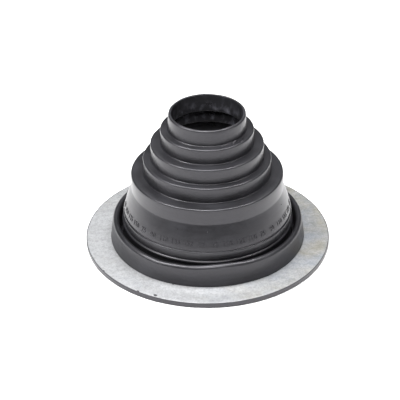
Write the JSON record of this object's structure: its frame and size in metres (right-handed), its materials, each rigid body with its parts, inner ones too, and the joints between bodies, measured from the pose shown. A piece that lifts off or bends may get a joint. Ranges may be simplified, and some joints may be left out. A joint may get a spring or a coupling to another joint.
{
  "type": "pipe flashing boot",
  "caption": "Stepped EPDM rubber boot on a round pad with a soft aluminium flange, which seals a round pipe where it passes through a roof.",
  "frame": {"origin": "on the axis at the underside of the rubber pad", "axes": "+Z along the pipe, from the roof up and out of the mouth; the part is round, so X and Y are free"},
  "size_m": [0.246, 0.246, 0.1431],
  "materials": {
    "epdm_rubber": "moulded satin black",
    "soft_aluminium": "dull soft temper, fine mottled grain"
  },
  "bodies": {
    "root": {"epdm_boot": "epdm_rubber", "aluminium_flange": "soft_aluminium"}
  },
  "joints": []
}
